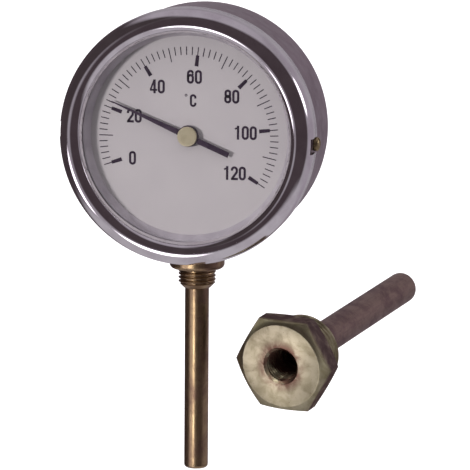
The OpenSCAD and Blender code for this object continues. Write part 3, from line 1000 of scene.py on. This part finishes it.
def make_pocket_head():
    turns = angles(HEX_STEPS)
    cone, edge = math.tan(math.radians(30)), 0.12
    drop = edge * cone * 0.7

    def front_edge(a):
        return (hex_radius(a) - FACE_R) * cone

    def back_edge(a):
        return HEX_H - (hex_radius(a) - BACK_FACE_R) * cone

    def corner(a):
        return hex_radius(a) - edge

    neck_end, root_r = HEX_H + NECK_LEN, NECK_R - NECK_THREAD_DEPTH
    relief_r = root_r - 0.2
    outside = [
        (SMALL_THREAD_R + 0.1, 0.0), (FACE_R - 0.2, 0.0), (FACE_R, 0.03),
        (corner, lambda a: front_edge(a) - drop), (hex_radius, lambda a: front_edge(a) + edge),
        (hex_radius, lambda a: back_edge(a) - edge), (corner, lambda a: back_edge(a) + drop),
        (BACK_FACE_R, HEX_H - 0.02), (BACK_FACE_R - 0.2, HEX_H),
        (relief_r + 0.3, HEX_H), (relief_r, HEX_H + 0.3), (relief_r, HEX_H + 1.6),
    ]
    inside = [
        (root_r, neck_end - 0.1), (root_r - 0.1, neck_end), (TUBE_R, neck_end), (TUBE_R, TUBE_SEAT),
        (POCKET_BORE_R, TUBE_SEAT), (POCKET_BORE_R, MOUTH_DEPTH), (SMALL_THREAD_R, MOUTH_DEPTH - 0.3),
    ]
    rings = [ring_of(r, z, turns) for r, z in outside]
    rings += threaded_rings(NECK_R, NECK_THREAD_DEPTH, NECK_THREAD_PITCH, HEX_H + 1.9, neck_end - 0.7,
                            turns, run_out=0.7)
    rings += [ring_of(r, z, turns) for r, z in inside]
    rings += threaded_rings(MOUTH_R, SMALL_THREAD_DEPTH, SMALL_THREAD_PITCH, MOUTH_DEPTH - 1.2, 0.75,
                            turns, run_out=0.4, sign=1)
    add_piece("pocket_head_threaded", lathe("pocket_head_threaded", rings), POCKET, "pocket",
              POCKET_BRASS, ["pocket_head"], 22)


def make_pocket_tube():
    seam, inner, gap = POCKET_LEN - POCKET_END_R, POCKET_BORE_R, 0.02
    profile = [(inner, TUBE_SEAT), (TUBE_R, TUBE_SEAT), (TUBE_R, seam - 0.08), (TUBE_R - 0.06, seam),
               (inner, seam)]
    add_piece("pocket_tube_drawn", turned("pocket_tube_drawn", profile, 96), POCKET, "pocket",
              TUBE_BRASS, ["pocket_tube"], 35)
    end_r = TUBE_R - gap
    profile = [(inner, seam - PLUG_T), (inner, seam + gap), (end_r, seam + gap)]
    profile += list(reversed(rounded_end(end_r, POCKET_LEN, POCKET_END_R - 0.05, -1)))
    profile += [(1.6, POCKET_LEN), (0.5, POCKET_LEN - 0.05)]
    add_piece("pocket_end", turned("pocket_end", profile, 96, False), POCKET, "pocket",
              TUBE_BRASS, ["pocket_plug"], 35)


make_pocket_head()
make_pocket_tube()

# ---------------------------------------------------------------- floor and light

FLOOR_HALF = 15.0
FLOOR_DROP = 0.004


def make_floor():
    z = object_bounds()[0].z - FLOOR_DROP
    bm = bmesh.new()
    corners = [(-1, -1), (1, -1), (1, 1), (-1, 1)]
    bm.faces.new([bm.verts.new((x * FLOOR_HALF, y * FLOOR_HALF, z)) for x, y in corners])
    mesh = bpy.data.meshes.new("floor")
    bm.to_mesh(mesh)
    bm.free()
    paint = Paint("floor_white", (0.93, 0.93, 0.93), 0.0, 0.9)
    paint.set("Emission Color", (1, 1, 1, 1))
    paint.set("Emission Strength", 0.45)
    mesh.materials.append(paint.material)
    floor = bpy.data.objects.new("floor", mesh)
    bpy.context.scene.collection.objects.link(floor)
    floor.visible_glossy = False
    floor.visible_diffuse = False
    floor.visible_shadow = False


def area_light(name, place, aim, size, watts, color):
    data = bpy.data.lights.new(name, "AREA")
    data.shape, data.size = "DISK", size
    data.energy, data.color = watts, color
    lamp = bpy.data.objects.new(name, data)
    lamp.location = place
    lamp.rotation_euler = (Vector(aim) - Vector(place)).to_track_quat("-Z", "Y").to_euler()
    bpy.context.scene.collection.objects.link(lamp)
    return lamp


def light_only(lamp, names):
    """Keeps a lamp's light on the pieces of those names."""
    lit = bpy.data.collections.new(lamp.name + "_lit")
    for name in names:
        lit.objects.link(bpy.data.objects[name])
    lamp.light_linking.receiver_collection = lit


class Sky(Nodes):
    """Studio surroundings: what lights the object, and what its polished parts mirror."""

    def __init__(self):
        world = bpy.data.worlds.new("studio")
        bpy.context.scene.world = world
        world.use_nodes = True
        super().__init__(world.node_tree)
        self.tree.nodes.clear()
        normal = self.node("ShaderNodeVectorMath", operation="NORMALIZE")
        self.link(self.node("ShaderNodeTexCoord").outputs["Generated"], normal.inputs[0])
        self.way = normal.outputs[0]

    def toward(self, axis):
        """Cosine between the view ray and axis."""
        made = self.node("ShaderNodeVectorMath", operation="DOT_PRODUCT")
        self.link(self.way, made.inputs[0])
        made.inputs[1].default_value = Vector(axis).normalized()
        return made.outputs["Value"]

    def lobe(self, axis, inner, outer):
        """1 within inner degrees of axis, 0 beyond outer degrees."""
        return self.spread(self.toward(axis), math.cos(math.radians(outer)), math.cos(math.radians(inner)))

    def background(self, color):
        made = self.node("ShaderNodeBackground")
        if isinstance(color, tuple):
            made.inputs["Color"].default_value = (*color, 1)
        else:
            self.link(color, made.inputs["Color"])
        return made.outputs[0]

    def finish(self, diffuse, glossy, camera):
        """Gives each kind of ray its own background."""
        path = self.node("ShaderNodeLightPath")
        shader = diffuse
        for ray, other in (("Is Glossy Ray", glossy), ("Is Camera Ray", camera)):
            mix = self.node("ShaderNodeMixShader")
            self.link(path.outputs[ray], mix.inputs[0])
            self.link(shader, mix.inputs[1])
            self.link(other, mix.inputs[2])
            shader = mix.outputs[0]
        self.link(shader, self.node("ShaderNodeOutputWorld").inputs["Surface"])


# What the polished parts mirror: a direction, its inner and outer degrees, and its tone.
# A dull wall comes first, then the dark room, the ceiling and floor, and three lamps.
MIRRORED = (
    ((0.75, 0.60, -0.05), 30, 55, (0.36, 0.32, 0.36)),
    ((0.44, -0.86, 0.22), 46, 60, (0.062, 0.046, 0.052)),
    ((-0.95, 0.15, -0.05), 48, 62, (0.060, 0.045, 0.050)),
    ((-0.72, -0.38, 0.52), 26, 42, (0.055, 0.042, 0.045)),
    ((0, 0.1, 1), 28, 46, (0.40, 0.36, 0.40)),
    ((0, -0.1, -1), 48, 64, (0.46, 0.43, 0.46)),
    ((-0.28, -0.78, -0.56), 5, 12, (3.6, 3.4, 3.6)),
    ((-0.694, -0.628, -0.354), 5, 11, (3.4, 3.1, 3.4)),
    ((0.94, 0.10, 0.31), 7, 13, (3.2, 3.0, 3.2)),
)
MIRRORED_ELSEWHERE = (0.34, 0.31, 0.34)
SKY_LOW, SKY_HIGH = (0.22, 0.21, 0.22), (1.45, 1.40, 1.45)
WHITE = (1.0, 1.0, 1.0)


def make_world():
    sky = Sky()
    height = sky.spread(sky.toward((0, 0, 1)), 0.0, 1.0)
    diffuse = sky.background(sky.blend(height, SKY_LOW, SKY_HIGH))
    tone = MIRRORED_ELSEWHERE
    for axis, inner, outer, color in MIRRORED:
        tone = sky.blend(sky.lobe(axis, inner, outer), tone, color)
    sky.finish(diffuse, sky.background(tone), sky.background(WHITE))


def make_lights():
    """A key lamp from the left, and two lamps that reach only the brass."""
    key = area_light("key", (-0.62, -1.10, 0.12), (0, 0, 0.03), 0.16, 11.8, (1.0, 0.97, 0.98))
    key.visible_glossy = False
    top = area_light("top", (-0.10, -0.80, 1.0), (0.03, 0, -0.03), 0.35, 5.0, (1.0, 0.98, 0.96))
    light_only(top, ["pocket_head_threaded", "pocket_tube_drawn", "pocket_end"])
    front = area_light("front", (-0.36, -1.13, -0.25), (0, 0, -0.03), 0.22, 2.0, (1.0, 0.96, 0.90))
    light_only(front, ["stem_body", "stem_end", "socket_threaded", "pocket_tube_drawn"])


make_floor()
make_world()
make_lights()
